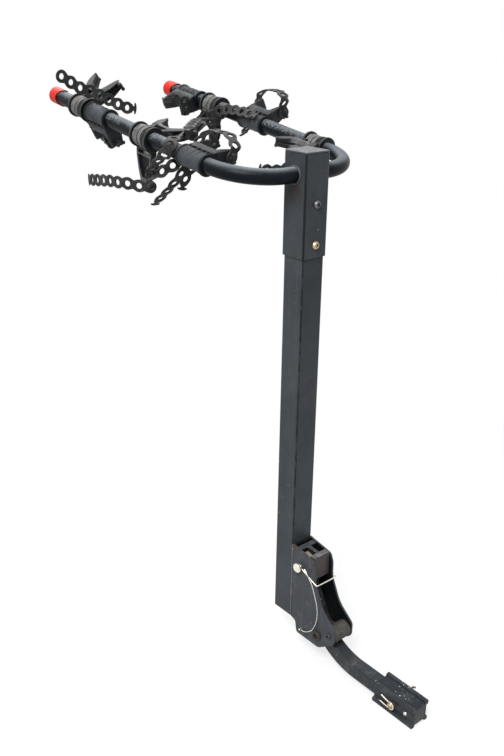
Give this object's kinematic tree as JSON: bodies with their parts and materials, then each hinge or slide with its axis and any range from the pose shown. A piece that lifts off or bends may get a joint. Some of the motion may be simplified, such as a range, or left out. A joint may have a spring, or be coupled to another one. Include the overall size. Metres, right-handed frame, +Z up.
{
  "type": "hitch bike rack",
  "caption": "Hitch-mounted bicycle rack: a square mast on a pinned tilting shank, with a U-shaped arm bar, turning cradles and perforated rubber straps.",
  "frame": {"origin": "centre of the shank bar's end face, which goes first into the vehicle's hitch receiver", "axes": "+Y away from the vehicle, towards the arms' tips; +Z up along the mast; +X to the right for someone who looks from the vehicle along +Y"},
  "size_m": [0.5388, 1.0943, 1.2587],
  "materials": {
    "powder_coat": "satin charcoal blue-grey powder coat",
    "black_extrusion": "black coating with silver scuffs",
    "red_cap": "satin red-orange plastic",
    "cradle_plastic": "dusty moulded black plastic",
    "cage_rubber": "dusty moulded black rubber",
    "strap_rubber": "matt black rubber",
    "zinc": "bright zinc",
    "brassy_zinc": "yellow zinc, tarnished",
    "dark_steel": "black oxide",
    "worn_steel": "worn and lightly rusted",
    "rusty_steel": "rusted",
    "cable_steel": "stranded steel",
    "ferrule_metal": "satin",
    "pale_plastic": "pale translucent plastic",
    "cap_plastic": "satin dark grey plastic"
  },
  "bodies": {
    "root": {"shank_bar": "powder_coat", "shank_head": "powder_coat", "head_wedge_left": "pale_plastic", "head_wedge_right": "pale_plastic", "hitch_adapter": "black_extrusion", "adapter_set_screw": "dark_steel"},
    "hitch_pin": {"hitch_pin": "brassy_zinc"},
    "hitch_pin_clip": {"hitch_pin_clip": "zinc"},
    "mast": {"mast_tube": "powder_coat", "mast_sleeve": "powder_coat", "mast_top_cap": "cap_plastic", "arm_bar": "powder_coat", "arm_cap_left": "red_cap", "arm_cap_right": "red_cap", "tilt_bracket": "powder_coat", "sleeve_bolt_upper": "dark_steel", "sleeve_bolt_lower": "brassy_zinc", "sleeve_nut_upper": "dark_steel", "sleeve_nut_lower": "dark_steel", "pivot_bolt": "rusty_steel", "pivot_nut": "rusty_steel", "pivot_spacer_left": "worn_steel", "pivot_spacer_right": "worn_steel", "stop_roller": "worn_steel", "stop_bolt": "dark_steel", "stop_nut": "dark_steel", "lanyard_anchor": "zinc", "lanyard_cable": "cable_steel", "lanyard_ferrule": "ferrule_metal", "strap_right_inner_loose": "strap_rubber"},
    "lock_pin": {"lock_pin": "zinc"},
    "pin_bail": {"pin_bail_wire": "zinc"},
    "cage_left_outer": {"cage_left_outer": "cage_rubber", "cage_button_left_outer": "cage_rubber"},
    "cage_left_inner": {"cage_left_inner": "cage_rubber", "cage_button_left_inner": "cage_rubber", "strap_left_inner_cage": "strap_rubber", "strap_left_inner_wishbone": "strap_rubber"},
    "cage_right_outer": {"cage_right_outer": "cage_rubber", "cage_button_right_outer": "cage_rubber", "strap_right_outer_cage": "strap_rubber"},
    "cage_right_inner": {"cage_right_inner": "cage_rubber", "cage_button_right_inner": "cage_rubber", "strap_right_inner_cage": "strap_rubber"},
    "saddle_left_outer": {"saddle_left_outer": "cradle_plastic", "strap_left_outer_saddle": "strap_rubber"},
    "saddle_left_inner": {"saddle_left_inner": "cradle_plastic", "strap_left_inner_saddle": "strap_rubber", "strap_left_inner_short": "strap_rubber"},
    "saddle_right_outer": {"saddle_right_outer": "cradle_plastic", "strap_right_outer_saddle": "strap_rubber"},
    "saddle_right_inner": {"saddle_right_inner": "cradle_plastic", "strap_right_inner_saddle": "strap_rubber"}
  },
  "joints": [
    {"name": "mast_tilt", "type": "hinge", "parent": "root", "child": "mast", "pos_m": [0, 0.28301, 0.04211], "axis": [-1, 0, 0], "range_deg": [0, 18]},
    {"name": "lock_pin_slide", "type": "slide", "parent": "mast", "child": "lock_pin", "axis": [-1, 0, 0], "range_m": [0, 0.078]},
    {"name": "pin_bail_swing", "type": "hinge", "parent": "mast", "child": "pin_bail", "pos_m": [0, 0.34601, 0.1948], "axis": [-1, 0, 0], "range_deg": [0, 120]},
    {"name": "hitch_pin_slide", "type": "slide", "parent": "root", "child": "hitch_pin", "axis": [1, 0, 0], "range_m": [0, 0.07]},
    {"name": "hitch_pin_clip_slide", "type": "slide", "parent": "root", "child": "hitch_pin_clip", "axis": [-1, 0, 0], "range_m": [0, 0.015]},
    {"name": "cage_left_outer_turn", "type": "hinge", "parent": "mast", "child": "cage_left_outer", "pos_m": [-0.16, 0.40201, 1.0628], "axis": [0, 0.99, 0.1409], "range_deg": [-90, 33]},
    {"name": "cage_left_inner_turn", "type": "hinge", "parent": "mast", "child": "cage_left_inner", "pos_m": [-0.16, 0.40201, 1.0628], "axis": [0, 0.99, 0.1409], "range_deg": [-17, 90]},
    {"name": "cage_right_outer_turn", "type": "hinge", "parent": "mast", "child": "cage_right_outer", "pos_m": [0.16, 0.40201, 1.0628], "axis": [0, 0.99, 0.1409], "range_deg": [-90, 5]},
    {"name": "cage_right_inner_turn", "type": "hinge", "parent": "mast", "child": "cage_right_inner", "pos_m": [0.16, 0.40201, 1.0628], "axis": [0, 0.99, 0.1409], "range_deg": [-90, 90]},
    {"name": "saddle_left_outer_turn", "type": "hinge", "parent": "mast", "child": "saddle_left_outer", "pos_m": [-0.16, 0.40201, 1.0628], "axis": [0, 0.99, 0.1409], "range_deg": [-33, 90]},
    {"name": "saddle_left_inner_turn", "type": "hinge", "parent": "mast", "child": "saddle_left_inner", "pos_m": [-0.16, 0.40201, 1.0628], "axis": [0, 0.99, 0.1409], "range_deg": [-90, 16]},
    {"name": "saddle_right_outer_turn", "type": "hinge", "parent": "mast", "child": "saddle_right_outer", "pos_m": [0.16, 0.40201, 1.0628], "axis": [0, 0.99, 0.1409], "range_deg": [-18, 90]},
    {"name": "saddle_right_inner_turn", "type": "hinge", "parent": "mast", "child": "saddle_right_inner", "pos_m": [0.16, 0.40201, 1.0628], "axis": [0, 0.99, 0.1409], "range_deg": [-33, 90]}
  ]
}
